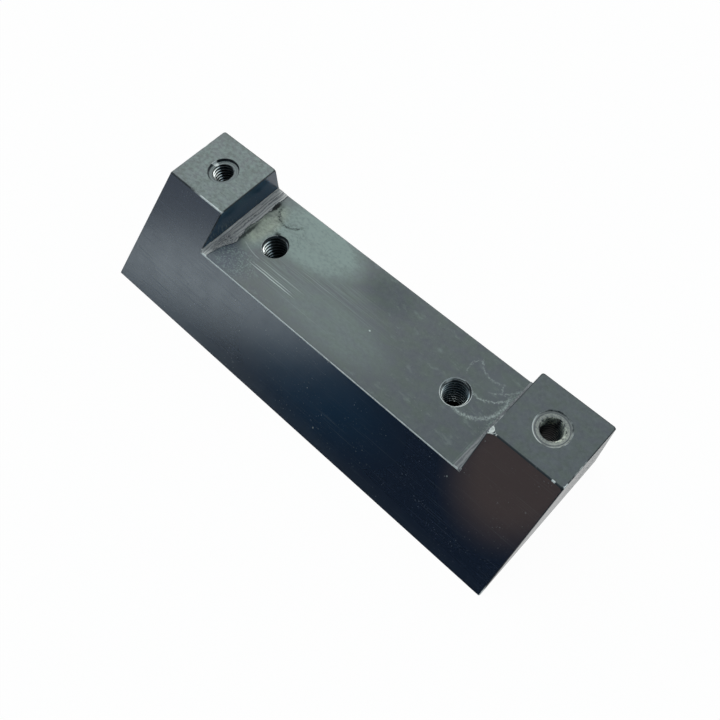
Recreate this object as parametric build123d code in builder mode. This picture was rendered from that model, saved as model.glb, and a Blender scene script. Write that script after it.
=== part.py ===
# Machined mounting block: one bar of aluminium with a slanted front face, a pocket milled
# through its top between two lands, and four tapped holes.
# Millimetres, +Z up. The origin is at the middle of the base, +X runs along the bar and
# +Y points at the upright back face.

import os
from math import atan2, cos, sin

from build123d import *

# Bar
bar_length = 100.0
base_depth = 34.2  # to the sharp lower front edge, before deburring
bar_height = 16.0
land_depth = 15.0  # flat top, from the back face to the upper edge of the slant

# Pocket between the lands
land_length = 15.75
pocket_depth = 6.0
ledge_width = 1.4  # strip that the floor cutter left standing along the foot of each wall
ledge_height = 0.25
root_radius = 0.4  # inside corner where a wall meets its ledge

# Holes in the pocket floor, tapped M6 x 1: the bore is the tap drill
floor_tap_drill = 5.0
floor_mouth_diameter = 6.1
floor_mouth_angle = 90.0
floor_hole_spacing = 48.0
floor_hole_from_back = 11.0

# Holes in the lands, tapped M5 x 0.8 under a flat seat
land_tap_drill = 4.2
land_seat_diameter = 6.8
land_seat_depth = 0.5

# Deburring
edge_break = 0.2
rim_break = 0.15  # mouths of the two seats
exit_chamfer = 0.5  # where each tapped hole leaves the base

# Chip knocked off the right land, at the corner between its pocket wall and its slant
chip_along_land = 1.6
chip_along_wall = 0.9
chip_down_slant = 0.7

# Places that follow from the sizes above
slant_angle = atan2(bar_height, base_depth - land_depth)
slant_out = cos(slant_angle)  # towards the front, for each millimetre down the slant
slant_down = sin(slant_angle)
back = (base_depth - edge_break * slant_out) / 2  # deburring shortens the base at the front
front = back - base_depth
land_front = back - land_depth
floor_height = bar_height - pocket_depth
floor_front = land_front - pocket_depth * slant_out / slant_down
half_length = bar_length / 2
wall = half_length - land_length
ledge_edge = wall - ledge_width
ledge_top = floor_height + ledge_height
land_centre = half_length - land_length / 2
land_hole_y = back - land_depth / 2
floor_hole_x = floor_hole_spacing / 2
floor_hole_y = back - floor_hole_from_back

with BuildPart() as mounting_block:
    # Section of the bar, seen from its end
    with BuildSketch(Plane.YZ):
        with BuildLine():
            Polyline(
                (front, 0),
                (back, 0),
                (back, bar_height),
                (land_front, bar_height),
                close=True,
            )
        make_face()
    extrude(amount=half_length, both=True)

    # Pocket down to the ledges, open at the front and at the back
    with BuildSketch(Plane.XY.offset(ledge_top)):
        Rectangle(2 * wall, 2 * base_depth)
    extrude(amount=bar_height, mode=Mode.SUBTRACT)
    chamfer(
        mounting_block.edges().filter_by(lambda edge: not edge.is_interior),
        edge_break,
    )
    wall_roots = mounting_block.edges().filter_by(Axis.Y)
    fillet(wall_roots.filter_by(lambda edge: edge.is_interior), root_radius)

    # Floor between the ledges, with its own broken edges at the slant and at the back
    with BuildSketch(Plane.YZ):
        with BuildLine():
            Polyline(
                (
                    floor_front - edge_break - 2 * edge_break * slant_out,
                    floor_height - 2 * edge_break * slant_down,
                ),
                (floor_front + edge_break, floor_height),
                (back - edge_break, floor_height),
                (back + edge_break, floor_height - 2 * edge_break),
                (back + edge_break, 2 * bar_height),
                (front, 2 * bar_height),
                close=True,
            )
        make_face()
    extrude(amount=ledge_edge, both=True, mode=Mode.SUBTRACT)

    # Tapped holes
    with Locations(
        (-land_centre, land_hole_y, bar_height),
        (land_centre, land_hole_y, bar_height),
    ):
        CounterBoreHole(land_tap_drill / 2, land_seat_diameter / 2, land_seat_depth)
    with Locations(
        (-floor_hole_x, floor_hole_y, floor_height),
        (floor_hole_x, floor_hole_y, floor_height),
    ):
        CounterSinkHole(
            floor_tap_drill / 2,
            floor_mouth_diameter / 2,
            counter_sink_angle=floor_mouth_angle,
        )
    rims = mounting_block.edges().filter_by(GeomType.CIRCLE).group_by(Axis.Z)
    chamfer(rims[0], exit_chamfer)
    chamfer(rims[-1], rim_break)

    # Chip: one flat facet across the three edges that meet at the corner
    on_land = Vector(wall + chip_along_land, land_front, bar_height)
    on_wall = Vector(wall, land_front + chip_along_wall, bar_height)
    on_slant = Vector(
        wall,
        land_front - chip_down_slant * slant_out,
        bar_height - chip_down_slant * slant_down,
    )
    outwards = (on_land - on_slant).cross(on_wall - on_slant)
    with BuildSketch(Plane(on_land, z_dir=outwards)):
        Rectangle(4 * chip_along_land, 4 * chip_along_land)
    extrude(amount=2 * chip_along_land, mode=Mode.SUBTRACT)

mounting_block.part.label = "mounting_block"
os.makedirs("parts", exist_ok=True)
export_step(mounting_block.part, "parts/mounting_block.step")
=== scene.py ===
from math import atan2, cos, pi, sin, tan

import bmesh
import bpy
from mathutils import Matrix, Vector, noise


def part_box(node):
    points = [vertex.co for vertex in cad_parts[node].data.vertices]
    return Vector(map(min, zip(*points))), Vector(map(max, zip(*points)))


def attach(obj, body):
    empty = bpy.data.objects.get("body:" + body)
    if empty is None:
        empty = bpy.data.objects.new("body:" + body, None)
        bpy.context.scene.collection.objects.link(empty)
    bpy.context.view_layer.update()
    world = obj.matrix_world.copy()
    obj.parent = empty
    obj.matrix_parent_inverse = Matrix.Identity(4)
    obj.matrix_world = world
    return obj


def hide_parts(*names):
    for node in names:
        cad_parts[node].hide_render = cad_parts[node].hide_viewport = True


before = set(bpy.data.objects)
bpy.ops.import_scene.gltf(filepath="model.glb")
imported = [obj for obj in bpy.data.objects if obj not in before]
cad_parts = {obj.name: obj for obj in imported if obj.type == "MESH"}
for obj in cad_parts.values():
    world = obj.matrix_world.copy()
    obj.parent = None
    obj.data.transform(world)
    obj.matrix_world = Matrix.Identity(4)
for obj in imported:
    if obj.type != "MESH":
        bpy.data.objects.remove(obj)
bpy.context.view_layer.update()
mm = 0.001
print("frame loaded")

# The block is modelled in millimetres and brought to metres at the end.
low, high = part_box("mounting_block")
half = high.x / mm
back = high.y / mm
top = high.z / mm

block = {
    "sharpDepth": 34.2,     # back face to the sharp lower front edge
    "landDepth": 15.0,
    "landLength": 15.75,
    "pocketDepth": 6.0,
    "ledgeWidth": 1.4,      # strip the floor cutter left at the foot of each wall
    "ledgeHeight": 0.25,
    "ledgeFrontHeight": 0.05,
    "ledgeRamp": 3.0,       # the ledge sinks to its front height over this length
    "edgeBreak": 0.2,
    "floorEdgeBreak": 0.13,
    "edgeSteps": 3,
    "rootRadius": 0.4,
    "rootSteps": 4,
    "cornerLoss": 0.45,     # knocked off the corners that stick out
    "sharpFrom": 0.45,      # angle in radians from which an edge is shaded sharp
}
front = back - block["sharpDepth"]
landFront = back - block["landDepth"]
slant = atan2(top, landFront - front)
floorTop = top - block["pocketDepth"]
ledgeTop = floorTop + block["ledgeHeight"]
floorFront = landFront - block["pocketDepth"] / tan(slant)
wall = half - block["landLength"]
ledgeEdge = wall - block["ledgeWidth"]
knockedCorners = [(-half, back, top), (-wall, back, top), (wall, back, top), (half, back, top),
                  (half, landFront, top)]
past = 5.0      # how far cutters reach past the block

landMiddle, landRow = half - block["landLength"] / 2, back - block["landDepth"] / 2
floorMiddle, floorRow = 24.0, back - 11.0
holes = {
    # place, seat radius, how far the tap drill was countersunk, seat depth
    "land": [(-landMiddle, landRow, 3.2, 0.1, 0.5), (landMiddle, landRow, 3.45, 0.25, 0.3)],
    # place, radius of the deburred mouth
    "floor": [(-floorMiddle, floorRow, 2.88), (floorMiddle, floorRow, 3.05)],
    "landThread": {"minor": 2.1, "major": 2.5, "pitch": 0.8},     # M5
    "floorThread": {"minor": 2.5, "major": 3.0, "pitch": 1.0},    # M6
    "seatRim": 0.12,        # broken rim and root of a seat
    "exitChamfer": 0.5,
    "above": 2.0,           # how far the mouth cutters rise above the face
    "inside": 0.2,          # how far land and exit cutters reach into the bore
    "floorInside": 0.3,     # and how far the floor's do
    "steps": 64,
}

chip = {
    "alongLand": 1.5,
    "alongWall": 1.1,
    "downSlant": 0.7,
    "roughness": 0.06,
    "hollow": 0.05,         # how much the facet dips away from its middle, per mm
    "reach": 3.0,
    "steps": 36,
}

ledge = {
    "seed": 4.0,
    "ridgeHeight": 0.12,    # low torn step between the ledge and the floor
    "tornReach": 1.3,       # how far the torn skin runs out over the floor
    "patchReach": 0.5,      # and how much further in its widest patch
    "patchMiddle": 1.5,
    "patchHalf": 3.0,
    "tornStart": -4.0,
    "tornFade": 4.5,        # length over which the tear grows to its full reach
    "leastReach": 0.05,     # past the ledge where nothing is torn
    "waves": [(0.5, 0.4), (1.7, 0.22), (4.5, 0.1)],     # fineness per mm and reach of each
    "rightShare": 0.2,      # how much of the waviness the right edge has
    "softFineness": 0.7,
    "softReach": 0.16,
    "softRightShare": 0.3,
    "steps": 110,
}


def pieceFrom(bm, name):
    mesh = bpy.data.meshes.new(name)
    bm.to_mesh(mesh)
    bm.free()
    piece = bpy.data.objects.new(name, mesh)
    bpy.context.scene.collection.objects.link(piece)
    return piece


def cutAway(piece, cutterBm):
    cutter = pieceFrom(cutterBm, "cutter")
    cut = piece.modifiers.new("cut", "BOOLEAN")
    cut.operation = "DIFFERENCE"
    cut.solver = "EXACT"
    cut.object = cutter
    made = bpy.data.meshes.new_from_object(piece.evaluated_get(bpy.context.evaluated_depsgraph_get()))
    piece.modifiers.clear()
    old = piece.data
    piece.data = made
    bpy.data.meshes.remove(old)
    bpy.data.meshes.remove(cutter.data)


def sectionAlongX(points, start, end, subdivide=None):
    # a closed outline in the YZ plane, drawn out along X
    bm = bmesh.new()
    corners = [bm.verts.new((start, y, z)) for y, z in points]
    outline = [bm.edges.new((a, b)) for a, b in zip(corners, corners[1:] + corners[:1])]
    if subdivide:
        bmesh.ops.subdivide_edges(bm, edges=[outline[subdivide[0]]], cuts=subdivide[1])
    bmesh.ops.contextual_create(bm, geom=bm.edges[:])
    grown = bmesh.ops.extrude_face_region(bm, geom=bm.faces[:])
    bmesh.ops.translate(bm, verts=[v for v in grown["geom"] if isinstance(v, bmesh.types.BMVert)],
                        vec=(end - start, 0, 0))
    bmesh.ops.recalc_face_normals(bm, faces=bm.faces)
    return bm


def turned(bm, profile, place):
    # a profile of (radius, height) points, both ends on the axis, spun full circle
    x, y = place
    line = [bm.verts.new((x + r, y, z)) for r, z in profile]
    edges = [bm.edges.new((a, b)) for a, b in zip(line, line[1:])]
    bmesh.ops.spin(bm, geom=line + edges, cent=(x, y, 0), axis=(0, 0, 1), angle=2 * pi,
                   steps=holes["steps"], use_merge=True)


def threadPlug(place, thread, bottom, end):
    # 60 degree profile with a flat crest and root, run up its own helix and trimmed flat
    bm = bmesh.new()
    x, y = place
    minor, major, pitch = thread["minor"], thread["major"], thread["pitch"]
    start = bottom - 1.5 * pitch
    profile = [(0.0, minor), (0.25, minor), (0.5625, major), (0.6875, major)]     # share of the pitch, radius
    line = [bm.verts.new((x + radius, y, start + (turn + share) * pitch))
            for turn in range(int((end - bottom) / pitch) + 4) for share, radius in profile]
    edges = [bm.edges.new((a, b)) for a, b in zip(line, line[1:])]
    bmesh.ops.spin(bm, geom=line + edges, cent=(x, y, 0), axis=(0, 0, 1),
                   dvec=(0, 0, pitch / holes["steps"]), angle=2 * pi, steps=holes["steps"])
    bmesh.ops.remove_doubles(bm, verts=bm.verts, dist=0.002)
    for height, facing in ((bottom, -1), (end, 1)):
        bmesh.ops.bisect_plane(bm, geom=bm.verts[:] + bm.edges[:] + bm.faces[:], dist=0.0001,
                               plane_co=(0, 0, height), plane_no=(0, 0, facing), clear_outer=True)
    bmesh.ops.holes_fill(bm, edges=[e for e in bm.edges if e.is_boundary], sides=0)
    bmesh.ops.recalc_face_normals(bm, faces=bm.faces)
    return bm


def makeBar():
    bar = sectionAlongX([(front, 0), (back, 0), (back, top), (landFront, top)], -half, half)
    piece = pieceFrom(bar, "finished_block")
    ramp = floorTop + block["ledgeFrontHeight"]
    pocket = [(front - past, ramp), (floorFront, ramp), (floorFront + block["ledgeRamp"], ledgeTop),
              (back + past, ledgeTop), (back + past, top + past), (front - past, top + past)]
    cutAway(piece, sectionAlongX(pocket, -wall, wall))
    bm = bmesh.new()
    bm.from_mesh(piece.data)
    knocked = [v for v in bm.verts if any((v.co - Vector(corner)).length < 0.01 for corner in knockedCorners)]
    bmesh.ops.bevel(bm, geom=knocked, offset=block["cornerLoss"], offset_type="OFFSET", affect="VERTICES",
                    segments=1, profile=0.5, material=-1)
    outer = [e for e in bm.edges if e.calc_face_angle_signed() > 0.1]
    bmesh.ops.bevel(bm, geom=outer, offset=block["edgeBreak"], offset_type="OFFSET", affect="EDGES",
                    segments=block["edgeSteps"], profile=0.5, material=-1)
    roots = [e for e in bm.edges if e.calc_face_angle_signed() < -0.5]
    bmesh.ops.bevel(bm, geom=roots, offset=block["rootRadius"], offset_type="OFFSET", affect="EDGES",
                    segments=block["rootSteps"], profile=0.5, material=-1)
    bm.to_mesh(piece.data)
    bm.free()
    return piece


def floorCutter(depth, leftEdge, rightEdge, wander):
    # outline of the milled floor with its own broken edges at the slant and at the back
    b = block["floorEdgeBreak"]
    points = [
        (floorFront - b - 2 * b * cos(slant), depth - 2 * b * sin(slant)),
        (floorFront + b, depth),
        (back - b, depth),
        (back + b, depth - 2 * b),
        (back + b, 2 * top),
        (front, 2 * top),
    ]
    bm = sectionAlongX(points, leftEdge, rightEdge, subdivide=(1, ledge["steps"]))
    for v in bm.verts:
        if abs(v.co.z - depth) < 0.001:
            v.co.x += wander(v.co.y, -1 if v.co.x < 0 else 1)
    bmesh.ops.triangulate(bm, faces=bm.faces)
    return bm


def tornEdge(y, side):
    # the cutter rubbed on the left and tore the skin out over the floor, widest near the front
    wave = sum(noise.noise(Vector((y * fineness, ledge["seed"] + fineness, 0))) * reach
               for fineness, reach in ledge["waves"])
    if side > 0:
        return -ledge["rightShare"] * wave
    start = min(1.0, max(0.0, (y - ledge["tornStart"]) / ledge["tornFade"]))
    out = max(0.0, 1 - ((y - ledge["patchMiddle"]) / ledge["patchHalf"]) ** 2)
    return start * (ledge["tornReach"] + out * ledge["patchReach"] + wave) + ledge["leastReach"]


def softEdge(y, side):
    # the low step above it wanders gently
    wave = noise.noise(Vector((y * ledge["softFineness"], ledge["seed"] + 9, 0))) * ledge["softReach"]
    return wave if side < 0 else ledge["softRightShare"] * wave


def makeHoles(piece):
    mouths, exits = bmesh.new(), bmesh.new()
    rim, above, inside = holes["seatRim"], holes["above"], holes["inside"]
    for x, y, r, lead, deep in holes["land"]:
        minor, seat = holes["landThread"]["minor"], top - deep
        turned(mouths, [(0, top + above), (r + rim + above, top + above), (r, top - rim), (r, seat + rim),
                        (r - rim, seat), (minor + lead, seat), (minor - inside, seat - lead - inside),
                        (0, seat - lead - inside)], (x, y))
    for x, y, r in holes["floor"]:
        narrow = holes["floorThread"]["minor"] - holes["floorInside"]
        turned(mouths, [(0, floorTop + above), (r + above, floorTop + above), (narrow, floorTop - (r - narrow)),
                        (0, floorTop - (r - narrow))], (x, y))
    for kind in ("land", "floor"):
        minor, flare = holes[kind + "Thread"]["minor"], holes["exitChamfer"]
        for place in holes[kind]:
            turned(exits, [(0, -1), (minor + flare + 1, -1), (minor - inside, flare + inside),
                           (0, flare + inside)], place[:2])
    for cutter in (mouths, exits):
        bmesh.ops.remove_doubles(cutter, verts=cutter.verts, dist=0.0005)
        bmesh.ops.recalc_face_normals(cutter, faces=cutter.faces)
        cutAway(piece, cutter)
    for kind in ("land", "floor"):
        for place in holes[kind]:
            mouth = top - place[4] if kind == "land" else floorTop
            cutAway(piece, threadPlug(place[:2], holes[kind + "Thread"], -0.4, mouth + 0.2))


def makeChip(piece):
    # one rough facet across the right land's front corner at the pocket
    onLand = Vector((wall + chip["alongLand"], landFront, top))
    onWall = Vector((wall, landFront + chip["alongWall"], top))
    onSlant = Vector((wall, landFront - chip["downSlant"] * cos(slant), top - chip["downSlant"] * sin(slant)))
    middle = (onLand + onWall + onSlant) / 3
    outwards = (onLand - onSlant).cross(onWall - onSlant).normalized()
    if outwards.z < 0:
        outwards.negate()
    bm = bmesh.new()
    bmesh.ops.create_grid(bm, x_segments=chip["steps"], y_segments=chip["steps"], size=chip["reach"])
    for v in bm.verts:
        v.co.z = noise.fractal(v.co * 1.3, 0.7, 2.2, 5) * chip["roughness"] - chip["hollow"] * v.co.length
    grown = bmesh.ops.extrude_face_region(bm, geom=bm.faces[:])
    for v in grown["geom"]:
        if isinstance(v, bmesh.types.BMVert):
            v.co.z = chip["reach"]
    bmesh.ops.recalc_face_normals(bm, faces=bm.faces)
    turn = outwards.to_track_quat("Z", "Y").to_matrix().to_4x4()
    bmesh.ops.transform(bm, matrix=Matrix.Translation(middle) @ turn, verts=bm.verts)
    cutAway(piece, bm)


finished = makeBar()
print("bar, pocket and broken edges done")
cutAway(finished, floorCutter(floorTop, -ledgeEdge, ledgeEdge, tornEdge))
cutAway(finished, floorCutter(floorTop + ledge["ridgeHeight"], -ledgeEdge, ledgeEdge, softEdge))
print("pocket floor and torn ledge done")
makeHoles(finished)
print("threaded holes done")
makeChip(finished)
print("chip done")


def linear(hexColour):
    parts = [int(hexColour[i:i + 2], 16) / 255 for i in (1, 3, 5)]
    return tuple(p / 12.92 if p <= 0.04045 else ((p + 0.055) / 1.055) ** 2.4 for p in parts) + (1.0,)


# settings that many nodes share
inColour = {"data_type": "RGBA"}
eased = {"interpolation_type": "SMOOTHSTEP"}


def addNode(tree, kind, settings=(), inputs=()):
    # an input is a number, a colour, or what another node gives
    node = tree.nodes.new(kind)
    for key, value in dict(settings).items():
        setattr(node, key, value)
    for key, value in dict(inputs).items():
        if isinstance(value, bpy.types.NodeSocket):
            tree.links.new(value, node.inputs[key])
        else:
            node.inputs[key].default_value = value
    return next((socket for socket in node.outputs if socket.enabled), None)


def newFinish(name):
    # a finish with its place on the piece in millimetres
    material = bpy.data.materials.new(name)
    material.use_nodes = True
    tree = material.node_tree
    tree.nodes.clear()
    spot = addNode(tree, "ShaderNodeTexCoord").node.outputs["Object"]
    place = addNode(tree, "ShaderNodeVectorMath", {"operation": "SCALE"}, {0: spot, "Scale": 1 / mm})
    return material, tree, place


def grain(tree, place, size, detail=3.0, low=0.3, high=0.7, strength=1.0):
    # uneven pattern of the given size in mm along each axis, from 0 to its strength
    across = addNode(tree, "ShaderNodeMapping", {}, {"Vector": place, "Scale": tuple(1 / s for s in size)})
    cloud = addNode(tree, "ShaderNodeTexNoise", {},
                    {"Vector": across, "Scale": 1.0, "Detail": detail, "Roughness": 0.6})
    return addNode(tree, "ShaderNodeMapRange", {}, {0: cloud, 1: low, 2: high, 3: 0.0, 4: strength})


def patch(tree, place, centre, reach, strength=1.0, solid=0.3):
    # full at the centre, fading out at the given reach in mm along each axis
    off = addNode(tree, "ShaderNodeVectorMath", {"operation": "SUBTRACT"}, {0: place, 1: centre})
    unit = addNode(tree, "ShaderNodeVectorMath", {"operation": "DIVIDE"}, {0: off, 1: reach})
    far = addNode(tree, "ShaderNodeVectorMath", {"operation": "LENGTH"}, {0: unit})
    return addNode(tree, "ShaderNodeMapRange", eased, {0: far, 1: 1.0, 2: solid, 3: 0.0, 4: strength})


def arc(tree, place, centre, radius, width, towards, halfAngle, strength):
    # a curved cutter mark: the part of a ring that lies towards a direction, in radians from X
    flat = addNode(tree, "ShaderNodeVectorMath", {"operation": "MULTIPLY"}, {0: place, 1: (1, 1, 0)})
    off = addNode(tree, "ShaderNodeVectorMath", {"operation": "SUBTRACT"}, {0: flat, 1: centre + (0,)})
    far = addNode(tree, "ShaderNodeVectorMath", {"operation": "LENGTH"}, {0: off})
    across = addNode(tree, "ShaderNodeMath", {"operation": "SUBTRACT"}, {0: far, 1: radius})
    thin = addNode(tree, "ShaderNodeMath", {"operation": "ABSOLUTE"}, {0: across})
    way = addNode(tree, "ShaderNodeVectorMath", {"operation": "NORMALIZE"}, {0: off})
    lean = addNode(tree, "ShaderNodeVectorMath", {"operation": "DOT_PRODUCT"},
                   {0: way, 1: (cos(towards), sin(towards), 0)})
    kept = addNode(tree, "ShaderNodeMapRange", eased,
                   {0: lean, 1: cos(halfAngle), 2: cos(halfAngle * 0.7), 3: 0.0, 4: strength})
    return addNode(tree, "ShaderNodeMapRange", eased, {0: thin, 1: width, 2: 0.0, 3: 0.0, 4: kept})


def ring(tree, place, centre, radius, width, strength):
    # a whole circle, full on its line and fading out at the width in mm
    flat = addNode(tree, "ShaderNodeVectorMath", {"operation": "MULTIPLY"}, {0: place, 1: (1, 1, 0)})
    far = addNode(tree, "ShaderNodeVectorMath", {"operation": "DISTANCE"}, {0: flat, 1: tuple(centre) + (0,)})
    off = addNode(tree, "ShaderNodeMath", {"operation": "SUBTRACT"}, {0: far, 1: radius})
    thin = addNode(tree, "ShaderNodeMath", {"operation": "ABSOLUTE"}, {0: off})
    return addNode(tree, "ShaderNodeMapRange", eased, {0: thin, 1: width, 2: 0.0, 3: 0.0, 4: strength})


def ragged(tree, place, size, reach):
    # the same place pushed about by part of the reach in mm, so that marks lose their clean edge
    cloud = addNode(tree, "ShaderNodeTexNoise", {}, {"Vector": place, "Scale": 1 / size, "Detail": 3.0})
    push = addNode(tree, "ShaderNodeVectorMath", {"operation": "SUBTRACT"},
                   {0: cloud.node.outputs["Color"], 1: (0.5, 0.5, 0.5)})
    return addNode(tree, "ShaderNodeVectorMath", {"operation": "MULTIPLY_ADD"},
                   {0: push, 1: (reach,) * 3, 2: place})


def strongest(tree, marks):
    # where marks overlap the stronger one shows
    whole = marks[0]
    for mark in marks[1:]:
        whole = addNode(tree, "ShaderNodeMath", {"operation": "MAXIMUM"}, {0: whole, 1: mark})
    return whole


def finishSurface(tree, colour, roughness, metallic, relief, depth, ior):
    # relief runs from 0 to 1 and stands for the depth in mm
    bump = addNode(tree, "ShaderNodeBump", {}, {"Height": relief, "Strength": 1.0, "Distance": depth * mm})
    shader = addNode(tree, "ShaderNodeBsdfPrincipled", {}, {
        "Base Color": colour, "Roughness": roughness, "Metallic": metallic, "IOR": ior, "Normal": bump})
    addNode(tree, "ShaderNodeOutputMaterial", {}, {"Surface": shader})


film = {
    "navy": linear("#1d2638"),      # the dyed oxide film is a blue-black
    "paintedTealReflection": linear("#142f47"),      # painted bluer reflection along the middle of the slant
    "paintedBrownReflection": linear("#5e4e4c"),     # painted brownish reflection on the slant near the right end
    "end": linear("#232e30"),       # duller on the right end
    "landGreen": linear("#20302f"),
    "floorGreen": linear("#1f3230"),
    "floorBlue": linear("#202f52"),
    "wall": linear("#193b52"),
    "edge": linear("#1b242b"),
    "haze": linear("#83918d"),      # chalky, rubbed film
    "stain": linear("#a8ae9e"),     # and greener chalk round the left floor hole
    "dust": linear("#8b9292"),
    "root": linear("#06090c"),      # film left dark and matt in the veins
    "scratch": linear("#c3cbc8"),
    "skin": linear("#bab6b6"),      # torn skin on the ledge
    "threadRoot": linear("#0b0f15"),
    "threadHighlight": linear("#e6e8e8"),
    "threadDust": linear("#cbcbbe"),
    "seatDust": linear("#a3a399"),
    "bare": linear("#dcdede"),      # aluminium where the film is gone
    "torn": linear("#b9bab8"),      # and where it has just broken, in its hollows and on its grains
    "grains": linear("#f0f0ee"),
    "ior": 1.7,                     # anodic film on aluminium
    "bareIor": 1.5,                 # bare metal and dry dirt
}


def blackAnodisedSide():
    # black anodised aluminium, milled smooth: a dark film with a clean gloss, a few dust specks and scratches
    material, tree, place = newFinish("blackAnodisedSide")
    mottle = grain(tree, place, (3.0, 3.0, 3.0), 4.0)
    fine = grain(tree, place, (0.25, 0.25, 0.25), 2.0)      # milling grain, coarser than the real 0.05 mm
    # painted bluer reflection along the middle of the slant
    middle = patch(tree, place, (2.0, -9.0, 6.0), (26.0, 14.0, 12.0), 1.0, 0.2)
    colour = addNode(tree, "ShaderNodeMix", inColour, {0: middle, 6: film["navy"], 7: film["paintedTealReflection"]})
    # painted brownish reflection on the slant near the right end
    paintedBrownReflection = patch(tree, place, (42.5, landFront - 2.0, 14.0), (14.5, 18.5, 16.5), 0.92, 0.4)
    colour = addNode(tree, "ShaderNodeMix", inColour, {0: paintedBrownReflection, 6: colour, 7: film["paintedBrownReflection"]})
    # dust specks of uneven size, about 2.4 mm apart
    specks = addNode(tree, "ShaderNodeTexVoronoi", {}, {"Vector": place, "Scale": 0.42})
    size = addNode(tree, "ShaderNodeSeparateColor", {}, {0: specks.node.outputs["Color"]})
    size = addNode(tree, "ShaderNodeMapRange", {}, {0: size, 1: 0.25, 2: 1.0, 3: 0.0, 4: 0.085})
    dust = addNode(tree, "ShaderNodeMath", {"operation": "LESS_THAN"}, {0: specks, 1: size})
    gathered = grain(tree, place, (7.0, 5.0, 5.0), 2.0, 0.45, 0.6)
    share = addNode(tree, "ShaderNodeMapRange", {}, {0: gathered, 3: 0.1, 4: 0.6})
    dust = addNode(tree, "ShaderNodeMath", {"operation": "MULTIPLY"}, {0: dust, 1: share})
    fineShare = addNode(tree, "ShaderNodeMapRange", {}, {0: gathered, 3: 0.1, 4: 0.45})
    rubbed = grain(tree, place, (5.0, 1.0, 1.0), 3.0, 0.4, 0.7, 0.06)
    scuffs = grain(tree, place, (3.0, 0.6, 0.45), 4.0, 0.5, 0.62, 0.8)
    hazed = strongest(tree, [
        dust,
        grain(tree, place, (14.0, 0.14, 0.14), 2.0, 0.62, 0.8, 0.16),           # scratches along the bar
        grain(tree, place, (0.35, 0.35, 0.35), 2.0, 0.64, 0.8, fineShare),      # fine dust
        patch(tree, place, (0.0, front, 0.3), (70.0, 3.6, 3.6), 0.04, 0.1),     # rubbed lower edge
        patch(tree, place, (-20.0, front, 0.0), (30.0, 2.2, 2.2), rubbed, 0.2),
        patch(tree, place, (half, 11.5, 8.0), (3.0, 9.0, 12.0), scuffs, 0.2),   # handled end
    ])
    sawn = patch(tree, place, (half, 0.0, top / 2), (0.2, 60.0, 60.0), 1.0, 0.9)     # the right end is duller
    colour = addNode(tree, "ShaderNodeMix", inColour, {0: sawn, 6: colour, 7: film["end"]})
    colour = addNode(tree, "ShaderNodeMix", inColour, {0: hazed, 6: colour, 7: film["dust"]})
    rough = addNode(tree, "ShaderNodeMapRange", {}, {0: mottle, 3: 0.15, 4: 0.18})
    rough = addNode(tree, "ShaderNodeMapRange", {}, {0: sawn, 3: rough, 4: 0.27})
    rough = addNode(tree, "ShaderNodeMapRange", {}, {0: hazed, 3: rough, 4: 0.75})
    finishSurface(tree, colour, rough, 0.0, fine, 0.0015, film["ior"])
    return material


def blackAnodisedLand():
    # the lands were ground: duller, with a fine grey-green bloom and rubbing along the bar
    material, tree, place = newFinish("blackAnodisedLand")
    mottle = grain(tree, place, (1.0, 0.7, 1.0), 6.0, 0.38, 0.66)
    fine = grain(tree, place, (0.3, 0.3, 0.3), 2.0)
    streaks = grain(tree, place, (4.0, 0.22, 1.0), 4.0, 0.45, 0.8)
    bloom = addNode(tree, "ShaderNodeMapRange", {}, {0: mottle, 3: 0.05, 4: 0.85})
    hazed = strongest(tree, [
        grain(tree, place, (0.7, 0.7, 0.7), 4.0, 0.35, 0.75, 0.15),
        grain(tree, place, (3.5, 2.5, 3.0), 5.0, 0.5, 0.75, 0.22),
        patch(tree, place, (-40.0, 9.0, top), (15.0, 14.0, 3.0), bloom, 0.5),       # the left land is paler
        patch(tree, place, (-38.5, 7.0, top), (10.0, 9.0, 3.0), streaks, 0.3),
        grain(tree, place, (0.25, 0.25, 0.25), 2.0, 0.64, 0.8, 0.45),
    ])
    tone = grain(tree, place, (2.6, 1.8, 2.0), 4.0, 0.4, 0.62)
    base = addNode(tree, "ShaderNodeMix", inColour, {0: tone, 6: film["navy"], 7: film["landGreen"]})
    colour = addNode(tree, "ShaderNodeMix", inColour, {0: hazed, 6: base, 7: film["haze"]})
    rough = addNode(tree, "ShaderNodeMapRange", {}, {0: tone, 3: 0.37, 4: 0.44})
    rough = addNode(tree, "ShaderNodeMapRange", {}, {0: hazed, 3: rough, 4: 0.6})
    finishSurface(tree, colour, rough, 0.0, fine, 0.005, film["ior"])
    return material


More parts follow.
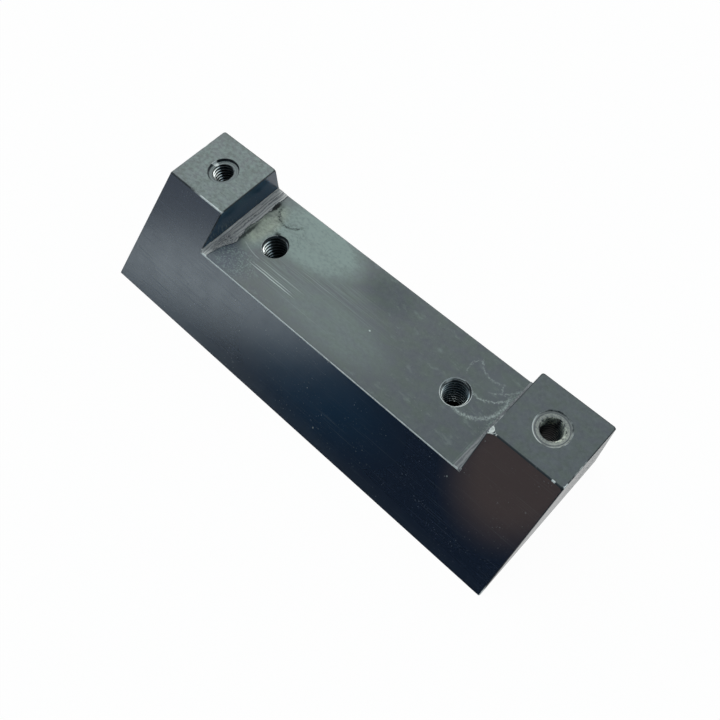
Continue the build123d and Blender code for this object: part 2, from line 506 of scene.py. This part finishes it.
floorMarks = {
    # middle, reach along and across the bar, strength, solid share
    "pale": [
        ((-19.5, 12.5), (16.5, 9.0), 1.3, 0.45),
        ((-28.6, 8.0), (4.2, 8.5), 1.0, 0.4),
        ((-4.0, 1.0), (22.0, 8.0), 0.4, 0.3),
        ((29.0, 12.0), (5.0, 5.0), 0.12, 0.2),
    ],
    "dark": [
        ((-31.2, 13.2), (0.8, 2.2), 1.0, 0.4),
        ((-30.9, 5.0), (0.6, 5.0), 0.8, 0.3),
        ((-25.8, 8.5), (1.1, 0.9), 0.9, 0.2),
    ],
    # centre, radius, width, direction and half angle in radians, strength
    "swirls": [
        ((27.0, 13.5), 5.6, 0.36, -1.2, 0.95, 0.42),
        ((26.5, 9.4), 6.1, 0.6, -0.75, 1.35, 0.45),
        ((27.4, 17.0), 4.6, 0.3, -1.9, 0.85, 0.25),
        ((25.6, 12.3), 3.2, 0.25, 3.1, 0.75, 0.2),
        ((31.4, 13.2), 1.7, 0.25, -2.4, 0.9, 0.25),
        ((24.2, 18.6), 9.6, 0.3, -0.7, 0.45, 0.25),
    ],
    # middle, half length along the bar, half width, strength
    "lines": [
        ((-19.0, 0.0), 7.6, 0.12, 0.75),
        ((-19.2, 0.48), 6.8, 0.11, 0.6),
        ((-17.5, 1.9), 7.0, 0.1, 0.35),
        ((-12.0, 5.6), 5.0, 0.14, 0.14),
        ((-9.0, -1.2), 9.0, 0.1, 0.1),
    ],
    "turnIn": ((-23.9, 16.8), 15.0, 0.16, -1.78, 0.2, 0.32),
    "roughArc": ((-26.5, 14.9), 3.8, 0.55, -1.75, 1.5),
}


def milledPocketFloor():
    # milled with a large cutter: dull grey-green bloom, rubbed pale round the left hole,
    # with swirls near the right one
    material, tree, place = newFinish("milledPocketFloor")
    blotch = grain(tree, place, (9.0, 2.6, 3.0), 4.0, 0.3, 0.65)
    mottle = grain(tree, place, (0.9, 0.55, 0.6), 5.0, 0.32, 0.68)
    crumbs = grain(tree, place, (0.3, 0.3, 0.3), 3.0, 0.35, 0.65)
    fine = grain(tree, place, (0.3, 0.3, 0.3), 2.0)
    streaks = grain(tree, place, (12.0, 0.28, 1.0), 3.0, 0.4, 0.75, 0.6)
    blotch = addNode(tree, "ShaderNodeMapRange", {}, {0: blotch, 3: 0.72, 4: 1.0})
    uneven = addNode(tree, "ShaderNodeMapRange", {}, {0: mottle, 3: 0.55, 4: 1.1})
    uneven = addNode(tree, "ShaderNodeMath", {"operation": "MULTIPLY"}, {0: blotch, 1: uneven})
    packed = grain(tree, place, (0.4, 0.4, 0.4), 4.0, 0.4, 0.7, 1.0)
    combed = grain(tree, place, (0.3, 6.0, 1.0), 3.0, 0.35, 0.65, 0.85)
    pale = [patch(tree, place, middle + (floorTop,), reach + (3.0,), strength, solid)
            for middle, reach, strength, solid in floorMarks["pale"]]
    pale = strongest(tree, pale + [
        patch(tree, place, (33.0, 9.0, floorTop), (1.9, 9.0, 3.0), packed, 0.3),     # dirt along the right wall
        patch(tree, place, (33.8, -2.5, floorTop), (2.2, 6.5, 3.0), combed, 0.5),
        grain(tree, place, (3.4, 1.6, 2.0), 8.0, 0.55, 0.75, 0.55),
    ])
    pale = addNode(tree, "ShaderNodeMath", {"operation": "MULTIPLY"}, {0: pale, 1: uneven})
    spotty = grain(tree, place, (0.4, 0.3, 0.3), 5.0, 0.48, 0.72, 1.1)
    hazed = strongest(tree, [
        pale,
        grain(tree, place, (0.8, 0.8, 0.8), 4.0, 0.35, 0.75, 0.12),
        patch(tree, place, (-10.0, 4.0, floorTop), (24.0, 10.5, 3.0), streaks, 0.3),
        patch(tree, place, (-28.0, -1.6, floorTop), (8.0, 5.0, 3.0), spotty, 0.3),
        grain(tree, place, (0.3, 0.3, 0.3), 2.0, 0.64, 0.8, 0.42),
    ])
    cuts = [patch(tree, place, (3.55, 4.77, floorTop), (0.28, 0.2, 1.0), 0.9, 0.5)]     # small ding
    shaky = ragged(tree, place, 0.5, 1.0)
    for centre, radius, width, towards, halfAngle, strength in floorMarks["swirls"]:
        worn = addNode(tree, "ShaderNodeMapRange", {}, {0: crumbs, 3: 0.0, 4: strength * 1.25})
        cuts.append(arc(tree, shaky, centre, radius, width, towards, halfAngle, worn))
    steady = ragged(tree, place, 2.5, 0.12)
    for middle, long, thin, strength in floorMarks["lines"]:
        cuts.append(patch(tree, steady, middle + (floorTop,), (long, thin, 2.0), strength, 0.6))
    cuts.append(arc(tree, place, *floorMarks["turnIn"]))
    bright = strongest(tree, cuts)
    # darker between the torn skin and the rubbed floor, in a ragged arc and in thin veins
    vein = addNode(tree, "ShaderNodeTexNoise", {},
                   {"Vector": place, "Scale": 0.42, "Detail": 4.0, "Roughness": 0.6})
    vein = addNode(tree, "ShaderNodeMath", {"operation": "SUBTRACT"}, {0: vein, 1: 0.5})
    vein = addNode(tree, "ShaderNodeMath", {"operation": "ABSOLUTE"}, {0: vein})
    vein = addNode(tree, "ShaderNodeMapRange", {}, {0: vein, 1: 0.0, 2: 0.02, 3: 0.45, 4: 0.0})
    broken = addNode(tree, "ShaderNodeMapRange", {}, {0: crumbs, 3: 0.15, 4: 1.0})
    dark = [patch(tree, shaky, middle + (floorTop,), reach + (2.0,), strength, solid)
            for middle, reach, strength, solid in floorMarks["dark"]]
    dark = strongest(tree, dark + [
        patch(tree, place, (-25.5, 10.0, floorTop), (8.0, 7.0, 3.0), vein, 0.3),
        arc(tree, shaky, *floorMarks["roughArc"], broken),
    ])
    hazed = addNode(tree, "ShaderNodeMapRange", {}, {0: dark, 3: hazed, 4: 0.0})
    green = patch(tree, place, (-30.0, 8.5, floorTop), (4.2, 8.0, 3.0), 1.0, 0.4)
    chalk = addNode(tree, "ShaderNodeMix", inColour, {0: green, 6: film["haze"], 7: film["stain"]})
    blue = patch(tree, place, (-30.5, -2.5, floorTop), (9.0, 6.5, 3.0), 0.5, 0.2)     # bluer, duller corner
    tone = grain(tree, place, (4.0, 2.4, 2.0), 4.0, 0.4, 0.62)
    base = addNode(tree, "ShaderNodeMix", inColour, {0: tone, 6: film["navy"], 7: film["floorGreen"]})
    base = addNode(tree, "ShaderNodeMix", inColour, {0: blue, 6: base, 7: film["floorBlue"]})
    base = addNode(tree, "ShaderNodeMix", inColour, {0: dark, 6: base, 7: film["root"]})
    colour = addNode(tree, "ShaderNodeMix", inColour, {0: hazed, 6: base, 7: chalk})
    colour = addNode(tree, "ShaderNodeMix", inColour, {0: bright, 6: colour, 7: film["scratch"]})
    rough = addNode(tree, "ShaderNodeMapRange", {}, {0: mottle, 3: 0.36, 4: 0.43})
    dull = strongest(tree, [blue, patch(tree, place, (1.5, 13.5, floorTop), (9.0, 6.0, 3.0), 0.8, 0.3)])
    rough = addNode(tree, "ShaderNodeMapRange", {}, {0: dull, 3: rough, 4: 0.58})
    rough = addNode(tree, "ShaderNodeMapRange", {}, {0: hazed, 3: rough, 4: 0.6})
    rough = addNode(tree, "ShaderNodeMapRange", {}, {0: dark, 3: rough, 4: 0.95})
    finishSurface(tree, colour, rough, 0.0, fine, 0.006, film["ior"])
    return material


def tornLedge():
    # strip at the wall foot where the cutter rubbed: wavy lines along the wall, granular where the skin tore
    material, tree, place = newFinish("tornLedge")
    slow = addNode(tree, "ShaderNodeMapping", {}, {"Vector": place, "Scale": (1.0, 0.22, 1.0)})
    wavy = {"Vector": slow, "Scale": 0.5, "Distortion": 8.0,
            "Detail": 7.0, "Detail Scale": 2.2, "Detail Roughness": 0.65}
    wave = addNode(tree, "ShaderNodeTexWave", {"wave_type": "BANDS", "bands_direction": "X"}, wavy)
    wave = wave.node.outputs["Fac"]
    lines = addNode(tree, "ShaderNodeMapRange", {}, {0: wave, 1: 0.1, 2: 0.6, 3: 0.4, 4: 1.0})
    crumbs = grain(tree, place, (0.3, 0.3, 0.3), 3.0, 0.35, 0.65)
    granular = strongest(tree, [patch(tree, place, (-32.2, -0.5, ledgeTop), (2.6, 4.5, 2.0), 1.0, 0.4),
                                patch(tree, place, (33.2, 9.5, ledgeTop), (1.4, 9.0, 2.0), 1.0, 0.6)])
    rubbed = patch(tree, place, (-wall, 6.0, ledgeTop), (0.95, 16.0, 2.0), 0.6, 0.5)
    torn = addNode(tree, "ShaderNodeMapRange", {}, {0: crumbs, 3: 0.1, 4: 0.95})
    share = addNode(tree, "ShaderNodeMapRange", {}, {0: granular, 3: lines, 4: torn})
    share = strongest(tree, [share, rubbed])
    rightWall = patch(tree, place, (wall, 6.0, ledgeTop), (4.0, 30.0, 4.0), 1.0, 0.8)
    # the right ledge is cleaner
    kept = addNode(tree, "ShaderNodeMapRange", {}, {0: rightWall, 3: 1.0, 4: 0.42})
    share = addNode(tree, "ShaderNodeMath", {"operation": "MULTIPLY"}, {0: share, 1: kept})
    colour = addNode(tree, "ShaderNodeMix", inColour, {0: share, 6: film["navy"], 7: film["skin"]})
    finishSurface(tree, colour, 0.45, 0.0, share, 0.06, film["ior"])
    return material


def polishedPocketWall():
    # the side of the cutter left it smooth enough to mirror the floor, with a few scuffs low in front
    material, tree, place = newFinish("polishedPocketWall")
    mottle = grain(tree, place, (1.2, 2.4, 0.6), 4.0)
    scuffs = grain(tree, place, (1.0, 0.35, 1.2), 4.0, 0.5, 0.72, 0.5)
    low = patch(tree, place, (-wall, 0.0, floorTop + 1.0), (2.0, 6.0, 3.5), scuffs, 0.3)
    specks = grain(tree, place, (0.3, 0.3, 0.3), 2.0, 0.66, 0.8, 0.5)
    hazed = strongest(tree, [low, specks])
    colour = addNode(tree, "ShaderNodeMix", inColour, {0: hazed, 6: film["wall"], 7: film["haze"]})
    rough = addNode(tree, "ShaderNodeMapRange", {}, {0: mottle, 3: 0.13, 4: 0.2})
    finishSurface(tree, colour, rough, 0.0, mottle, 0.003, film["ior"])
    return material


wornLeast = 0.3     # how rubbed every edge is, before its own worn stretches


def wornEdge(name, spots, rings):
    # broken edges: film with scuffed aluminium showing where they are rubbed, bright from every side
    material, tree, place = newFinish(name)
    patchy = grain(tree, place, (0.9, 0.9, 0.9), 4.0, 0.3, 0.7, 0.4)
    places = [patch(tree, place, *spot) for spot in spots] + [ring(tree, place, *line) for line in rings]
    worn = strongest(tree, [grain(tree, place, (0.5, 0.5, 0.5), 2.0, 0.0, 1.0, wornLeast)] + places)
    level = addNode(tree, "ShaderNodeMath", {"operation": "ADD"}, {0: patchy, 1: worn})
    bare = addNode(tree, "ShaderNodeMapRange", eased, {0: level, 1: 0.45, 2: 1.15, 3: 0.0, 4: 1.0})
    colour = addNode(tree, "ShaderNodeMix", inColour, {0: bare, 6: film["edge"], 7: film["bare"]})
    metal = addNode(tree, "ShaderNodeMapRange", {}, {0: bare, 3: 0.0, 4: 0.3})
    finishSurface(tree, colour, 0.55, metal, patchy, 0.01, film["bareIor"])
    return material


def tappedThread(name, places, screw, highlightSides, dull, dusty):
    # tapped after the blank was made: crests painted bright as highlights on the sides where light falls on
    # them, dark film down in the roots
    material, tree, place = newFinish(name)
    flat = addNode(tree, "ShaderNodeVectorMath", {"operation": "MULTIPLY"}, {0: place, 1: (1, 1, 0)})
    away = [addNode(tree, "ShaderNodeVectorMath", {"operation": "DISTANCE"}, {0: flat, 1: (x, y, 0)})
            for x, y in places]
    radius = addNode(tree, "ShaderNodeMath", {"operation": "MINIMUM"}, {0: away[0], 1: away[1]})
    minor, depth = screw["minor"], screw["major"] - screw["minor"]
    # painted highlights on the crests: bright on one side of a hole, fainter on the others
    brightCrestHighlight, faintCrestHighlight = [
        strongest(tree, [arc(tree, place, places[which], minor - 0.1, 1.4, towards, reach, strength)
                         for which, towards, reach, strength in sides])
        for sides in (highlightSides, dull)]
    metal = addNode(tree, "ShaderNodeMapRange", eased,
                    {0: radius, 1: minor + 0.6 * depth, 2: minor + 0.1 * depth, 3: 0.0, 4: brightCrestHighlight})
    thin = addNode(tree, "ShaderNodeMapRange", eased,
                   {0: radius, 1: minor + 0.4 * depth, 2: minor + 0.05 * depth, 3: 0.0, 4: faintCrestHighlight})
    scuff = addNode(tree, "ShaderNodeMath", {"operation": "MULTIPLY"}, {0: thin, 1: 0.75})
    metal = strongest(tree, [metal, scuff])
    crestHighlight = strongest(tree, [metal, thin])
    crumbs = grain(tree, place, (0.35, 0.35, 0.35), 3.0)
    colour = addNode(tree, "ShaderNodeMix", inColour, {0: crestHighlight, 6: film["threadRoot"], 7: film["threadHighlight"]})
    rough = addNode(tree, "ShaderNodeMapRange", {}, {0: metal, 3: 0.4, 4: 0.22})
    for centre, reach, strength in dusty:
        clods = addNode(tree, "ShaderNodeMapRange", {}, {0: crumbs, 1: 0.3, 2: 0.65, 3: 0.05, 4: strength})
        dust = patch(tree, place, centre, reach, clods, 0.8)
        colour = addNode(tree, "ShaderNodeMix", inColour, {0: dust, 6: colour, 7: film["threadDust"]})
        rough = addNode(tree, "ShaderNodeMapRange", {}, {0: dust, 3: rough, 4: 0.85})
        metal = addNode(tree, "ShaderNodeMapRange", {}, {0: dust, 3: metal, 4: 0.0})
    finishSurface(tree, colour, rough, metal, crumbs, 0.004, film["bareIor"])
    return material


landPlaces = [h[:2] for h in holes["land"]]
floorPlaces = [h[:2] for h in holes["floor"]]


def turnedSeat():
    # spot faces under the screw heads: fine turning rings, dusty on the right
    material, tree, place = newFinish("turnedSeat")
    flat = addNode(tree, "ShaderNodeVectorMath", {"operation": "MULTIPLY"}, {0: place, 1: (1, 1, 0)})
    away = [addNode(tree, "ShaderNodeVectorMath", {"operation": "DISTANCE"}, {0: flat, 1: (x, y, 0)})
            for x, y in landPlaces]
    radius = addNode(tree, "ShaderNodeMath", {"operation": "MINIMUM"}, {0: away[0], 1: away[1]})
    turn = addNode(tree, "ShaderNodeMath", {"operation": "PINGPONG"}, {0: radius, 1: 0.22})
    rings = addNode(tree, "ShaderNodeMapRange", {}, {0: turn, 1: 0.0, 2: 0.22, 3: 0.1, 4: 0.6})
    crumbs = grain(tree, place, (0.3, 0.3, 0.3), 4.0, 0.35, 0.65)
    dirty = addNode(tree, "ShaderNodeMapRange", {}, {0: crumbs, 3: 0.25, 4: 0.8})
    inner = addNode(tree, "ShaderNodeMapRange", eased, {0: radius, 1: 3.1, 2: 2.95, 3: 0.4, 4: dirty})
    rightX, rightY = landPlaces[1]
    dusty = patch(tree, place, (rightX, rightY, top), (4.0, 4.0, 2.0), 1.0, 0.9)
    packed = addNode(tree, "ShaderNodeMapRange", {}, {0: crumbs, 3: 0.5, 4: 1.0})
    packed = patch(tree, place, (rightX + 2.0, rightY - 0.6, top), (3.4, 3.4, 2.0), packed, 0.5)
    inner = strongest(tree, [inner, packed])
    mouth = addNode(tree, "ShaderNodeMapRange", eased, {0: radius, 1: 2.62, 2: 2.38, 3: 0.0, 4: 1.0})
    clods = grain(tree, place, (0.3, 0.3, 0.3), 4.0, 0.4, 0.62, 0.6)
    inner = addNode(tree, "ShaderNodeMapRange", {}, {0: mouth, 3: inner, 4: clods})
    groove = ring(tree, place, landPlaces[1], 3.07, 0.16, 1.3)
    inner = addNode(tree, "ShaderNodeMapRange", {}, {0: groove, 3: inner, 4: 0.05})
    nick = patch(tree, place, (-44.9, 9.9, top - 0.4), (0.9, 0.7, 0.8), 1.0, 0.5)
    share = addNode(tree, "ShaderNodeMapRange", {}, {0: dusty, 3: rings, 4: inner})
    share = strongest(tree, [share, nick])
    tone = addNode(tree, "ShaderNodeMix", inColour, {0: dusty, 6: film["haze"], 7: film["seatDust"]})
    tone = addNode(tree, "ShaderNodeMix", inColour, {0: nick, 6: tone, 7: film["bare"]})
    colour = addNode(tree, "ShaderNodeMix", inColour, {0: share, 6: film["navy"], 7: tone})
    finishSurface(tree, colour, 0.5, 0.0, share, 0.01, film["ior"])
    return material


def freshBreak():
    # torn aluminium in the chip: bright, granular, not yet dull
    material, tree, place = newFinish("freshBreak")
    crumbs = grain(tree, place, (0.25, 0.25, 0.25), 3.0)
    colour = addNode(tree, "ShaderNodeMix", inColour, {0: crumbs, 6: film["torn"], 7: film["grains"]})
    finishSurface(tree, colour, 0.55, 0.3, crumbs, 0.05, film["bareIor"])
    return material


# centre, reach, strength and solid share of each worn stretch
edgeSpots = [
    ((-24.0, floorFront, floorTop), (26.0, 1.2, 1.0), 1.4, 0.6),
    ((14.0, floorFront, floorTop), (34.0, 1.2, 1.0), 0.8, 0.7),
    ((-37.5, landFront, top), (8.5, 1.0, 1.0), 0.85, 0.2),
    ((-wall, -1.5, 13.0), (1.0, 5.0, 4.0), 0.3, 0.5),
    ((-49.6, 11.6, top), (1.0, 1.0, 1.0), 0.9, 0.4),
    ((47.9, landFront, top), (0.55, 1.0, 1.0), 0.9, 0.4),
    ((half, front + 0.6, 0.4), (1.6, 3.0, 3.0), 0.8, 0.2),
    ((half, 2.8, top), (0.8, 0.9, 1.0), 0.9, 0.4),
    ((wall, 4.0, top), (1.0, 5.0, 1.0), 0.5, 0.3),
    ((half, 6.0, top - 1.0), (1.0, 6.0, 3.0), 0.5, 0.3),
]
rimSpots = [
    ((22.1, back - 10.2, floorTop), (2.0, 1.6, 1.0), 0.9, 0.3),
    ((landPlaces[1][0] - 2.6, landPlaces[1][1] - 2.4, top), (4.0, 4.0, 1.6), 1.2, 0.5),
    (landPlaces[1] + (top,), (4.6, 4.6, 1.6), 0.5, 0.9),
    ((-45.3, 9.8, top), (1.2, 0.9, 0.9), 1.4, 0.4),
]
# centre, radius, width and strength of each thin bright line
rimLines = [
    (floorPlaces[1], 2.98, 0.2, 1.5),
    (floorPlaces[1], 2.7, 0.07, 0.8),
    (floorPlaces[0], 2.86, 0.08, 0.9),
]
# which hole, direction and half angle in radians of the side whose crests get a painted highlight, strength
landCrestHighlight = [(0, -2.5, 1.15, 1.0)]
landFaintCrestHighlight = [(0, 0.6, 0.9, 0.7), (0, 2.3, 1.2, 0.2), (1, 0.7, 0.9, 0.4)]
floorCrestHighlight = [(0, -2.4, 1.25, 1.0)]
floorFaintCrestHighlight = [(0, 0.6, 0.9, 0.7), (0, 2.3, 1.2, 0.2), (1, 0.7, 1.9, 1.2), (1, -3.0, 1.3, 1.0)]
# centre, reach and strength of the dirt packed in the right land hole
landDust = [((44.4, 10.0, top - 1.4), (2.5, 3.4, 3.6), 1.7), ((40.5, 10.8, top - 1.0), (1.8, 2.0, 2.6), 1.3)]
finishes = {
    "side": blackAnodisedSide(),
    "land": blackAnodisedLand(),
    "floor": milledPocketFloor(),
    "strip": tornLedge(),
    "wall": polishedPocketWall(),
    "edge": wornEdge("rubbedEdge", edgeSpots, []),
    "rim": wornEdge("turnedRim", rimSpots, rimLines),
    "seat": turnedSeat(),
    "landThread": tappedThread("tappedLandThread", landPlaces, holes["landThread"],
                               landCrestHighlight, landFaintCrestHighlight, landDust),
    "floorThread": tappedThread("tappedFloorThread", floorPlaces, holes["floorThread"],
                                floorCrestHighlight, floorFaintCrestHighlight, []),
    "broken": freshBreak(),
}


def sortFaces(piece):
    # which finish each face gets, from where it lies and which way it faces
    bores = ([(h, "landThread", top - h[4]) for h in holes["land"]]
             + [(h, "floorThread", floorTop - 0.08) for h in holes["floor"]])
    slantOut = Vector((0, -sin(slant), cos(slant)))
    corner = Vector((wall, landFront, top))
    order = list(finishes)
    for face in piece.data.polygons:
        c, n = face.center, face.normal
        straight = max(abs(n.x), abs(n.y), abs(n.z), n.dot(slantOut))
        rounded, level = straight < 0.995, n.z > 0.99
        betweenWalls = abs(c.x) < wall + 0.01
        inPocket = betweenWalls and c.z < ledgeTop + 0.02
        kind = "side"
        if rounded:
            kind = "edge"
        elif level and c.z > top - 0.1:
            kind = "land"
        elif betweenWalls and abs(n.x) > 0.99 and c.z > ledgeTop:
            kind = "wall"
        elif inPocket and level and c.z > floorTop + 0.03:
            kind = "strip"
        elif inPocket and level and c.z > floorTop - 0.1:
            kind = "floor"
        if inPocket and c.z > floorTop + 0.005 and kind == "side":
            kind = "strip"
        atRoot = betweenWalls and abs(c.x) > wall - 0.45 and floorTop < c.z < ledgeTop + 0.3
        if atRoot and rounded:
            kind = "strip"
        nearChip = (c - corner).length < 1.6 and c.x > wall - 0.3
        if nearChip and straight < 0.985 and abs(n.x) > 0.1:
            kind = "broken"
        for (x, y, wide, *_), screw, under in bores:
            away = Vector((c.x - x, c.y - y)).length
            # the deburred mouth of a floor hole leans at 45 degrees
            mouth = screw == "floorThread" and 0.65 < n.z < 0.76 and c.z > floorTop - 0.7
            if away < holes[screw]["major"] + 0.02 and c.z < under - 0.02 and not mouth:
                kind = screw
            elif away < wide + 0.15 and c.z > under - 0.7 and n.z < 0.99:
                kind = "rim"
            elif away < wide and c.z < top - 0.2 and screw == "landThread":
                kind = "seat"
        face.material_index = order.index(kind)


for finish in finishes.values():
    finished.data.materials.append(finish)
sortFaces(finished)
print("finishes done")

bm = bmesh.new()
bm.from_mesh(finished.data)
# slivers left by the cuts are merged away
bmesh.ops.remove_doubles(bm, verts=bm.verts, dist=0.0008)
bmesh.ops.dissolve_degenerate(bm, edges=bm.edges[:], dist=0.0005)
for e in bm.edges:
    e.smooth = len(e.link_faces) == 2 and e.calc_face_angle(pi) < block["sharpFrom"]
for f in bm.faces:
    f.smooth = True
print("open edges", sum(1 for e in bm.edges if not e.is_manifold))
bmesh.ops.scale(bm, verts=bm.verts, vec=(mm, mm, mm))
bm.to_mesh(finished.data)
bm.free()
shading = finished.modifiers.new("flatFaces", "WEIGHTED_NORMAL")
shading.mode = "FACE_AREA"
shading.weight = 100
shading.keep_sharp = True

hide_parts("mounting_block")
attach(finished, "root")
print("block dressed")

studio = {
    "paper": "#f4f4f4",
    "shadow": "#1c1c1c",
    "whiteShare": 0.97,         # how much of the paper shows as plain white
    "cove": [(0, 0), (2.3, 0), (2.55, 0.02), (2.8, 0.1), (2.95, 0.22), (3.05, 0.4), (3.08, 0.62)],
    "roomBright": 1.45,
    "roomDark": 0.027,
    "brightTint": (0.91, 1.0, 0.97, 1.0),
    "darkTint": (0.4, 0.75, 1.0, 1.0),
    "brightSide": (-0.33, 0.80, 0.50),
    "turnsDark": (0.15, 0.75),
    "glowSide": (-0.627, -0.649, 0.43),     # soft spill beside the low lamp
    "glowReach": 0.27,
    "glow": 0.66,
    "glowTint": (0.76, 0.87, 1.0, 1.0),
    "coveSteps": 96,
    "shadowReach": (0.047, 0.014, 1.0),     # the paper stays dark this far under the block
    # name, direction, distance, size, radiance, tint, turn in radians
    "softboxes": [
        ("leftSoftbox", (-0.60, 0.35, 0.72), 1.0, (0.5, 0.42), 2.3, (0.95, 1.0, 0.97), 0.0),
        ("lowSoftbox", (-0.505, -0.762, 0.405), 3.0, (1.04, 0.25), 2.7, (0.86, 0.97, 1.0), 0.6),
        ("backSoftbox", (0.05, 0.86, 0.51), 1.5, (0.5, 0.35), 2.5, (1.0, 1.0, 1.0), 0.0),
    ],
    "lens": 40.358,
    "viewer": (57.5675, -49.8975, 144.1727),
    "right": (0.724846, 0.68845, -0.0252),
    "down": (0.601103, -0.649905, -0.465079),
    "forward": (-0.336561, 0.321963, -0.88491),
}

# a sheet of paper whose rim turns up all round, so that it has no horizon
floorBm = bmesh.new()
line = [floorBm.verts.new((r, 0, z)) for r, z in studio["cove"]]
edges = [floorBm.edges.new(pair) for pair in zip(line, line[1:])]
bmesh.ops.spin(floorBm, geom=line + edges, cent=(0, 0, 0), axis=(0, 0, 1), angle=2 * pi,
               steps=studio["coveSteps"], use_merge=True)
bmesh.ops.remove_doubles(floorBm, verts=floorBm.verts, dist=0.0001)
bmesh.ops.recalc_face_normals(floorBm, faces=floorBm.faces)
if next(iter(floorBm.faces)).normal.z < 0:
    bmesh.ops.reverse_faces(floorBm, faces=floorBm.faces)
floorPlane = pieceFrom(floorBm, "studio_floor")

floorFinish = bpy.data.materials.new("paleStudioPaper")
floorFinish.use_nodes = True
tree = floorFinish.node_tree
tree.nodes.clear()
path = addNode(tree, "ShaderNodeLightPath").node.outputs
seen = strongest(tree, [path["Is Camera Ray"], path["Is Glossy Ray"], path["Is Transmission Ray"]])
where = addNode(tree, "ShaderNodeTexCoord").node.outputs["Object"]
under = patch(tree, where, (0.0, 0.0, 0.0), studio["shadowReach"], 1.0, 0.85)
share = addNode(tree, "ShaderNodeMapRange", {}, {0: under, 3: studio["whiteShare"], 4: 0.0})
share = addNode(tree, "ShaderNodeMath", {"operation": "MULTIPLY"}, {0: share, 1: seen})
tone = addNode(tree, "ShaderNodeMix", inColour,
               {0: under, 6: linear(studio["paper"]), 7: linear(studio["shadow"])})
paper = addNode(tree, "ShaderNodeBsdfDiffuse", {}, {"Color": tone})
white = addNode(tree, "ShaderNodeEmission", {}, {"Color": (1.0, 1.0, 1.0, 1.0), "Strength": 1.0})
both = addNode(tree, "ShaderNodeMixShader", {}, {0: share, 1: paper, 2: white})
addNode(tree, "ShaderNodeOutputMaterial", {}, {"Surface": both})
floorPlane.data.materials.append(floorFinish)

# a pale room behind and above the block, dim and bluish towards the front right
world = bpy.data.worlds.new("softStudio")
world.use_nodes = True
bpy.context.scene.world = world
tree = world.node_tree
tree.nodes.clear()
facing = addNode(tree, "ShaderNodeTexCoord")
bright, soft = (tuple(Vector(studio[side]).normalized()) for side in ("brightSide", "glowSide"))
darkEnd, brightEnd = studio["turnsDark"]
lean = addNode(tree, "ShaderNodeVectorMath", {"operation": "DOT_PRODUCT"}, {0: facing, 1: bright})
lit = addNode(tree, "ShaderNodeMapRange", eased, {0: lean, 1: darkEnd, 2: brightEnd})
tint = addNode(tree, "ShaderNodeMix", inColour, {0: lit, 6: studio["darkTint"], 7: studio["brightTint"]})
level = addNode(tree, "ShaderNodeMapRange", {}, {0: lit, 3: studio["roomDark"], 4: studio["roomBright"]})
glow = addNode(tree, "ShaderNodeVectorMath", {"operation": "DOT_PRODUCT"}, {0: facing, 1: soft})
glow = addNode(tree, "ShaderNodeMapRange", eased, {0: glow, 1: cos(studio["glowReach"]), 2: cos(0.05)})
tint = addNode(tree, "ShaderNodeMix", inColour, {0: glow, 6: tint, 7: studio["glowTint"]})
level = addNode(tree, "ShaderNodeMapRange", {}, {0: glow, 3: level, 4: studio["glow"]})
room = addNode(tree, "ShaderNodeBackground", {}, {"Color": tint, "Strength": level})
addNode(tree, "ShaderNodeOutputWorld", {}, {"Surface": room})


def addSoftbox(name, direction, distance, size, radiance, tint, turn):
    lamp = bpy.data.lights.new(name, "AREA")
    lamp.shape = "ELLIPSE"
    lamp.size, lamp.size_y = size
    lamp.color = tint
    lamp.energy = radiance * pi * (size[0] * size[1] * pi / 4)
    box = bpy.data.objects.new(name, lamp)
    bpy.context.scene.collection.objects.link(box)
    away = Vector(direction).normalized()
    box.matrix_world = (Matrix.Translation(away * distance) @ away.to_track_quat("Z", "Y").to_matrix().to_4x4()
                        @ Matrix.Rotation(turn, 4, "Z"))


for softbox in studio["softboxes"]:
    addSoftbox(*softbox)

camera = bpy.data.cameras.new("camera")
camera.sensor_width = 36.0
camera.lens = studio["lens"]
camera.clip_start = 0.01
view = bpy.data.objects.new("camera", camera)
bpy.context.scene.collection.objects.link(view)
right, down, forward, viewer = (Vector(studio[part]) for part in ("right", "down", "forward", "viewer"))
view.matrix_world = (Matrix.Translation(viewer * mm)
                     @ Matrix((right, -down, -forward)).transposed().to_4x4())
bpy.context.scene.camera = view
bpy.context.scene.view_settings.view_transform = "Standard"

print("scene ready")
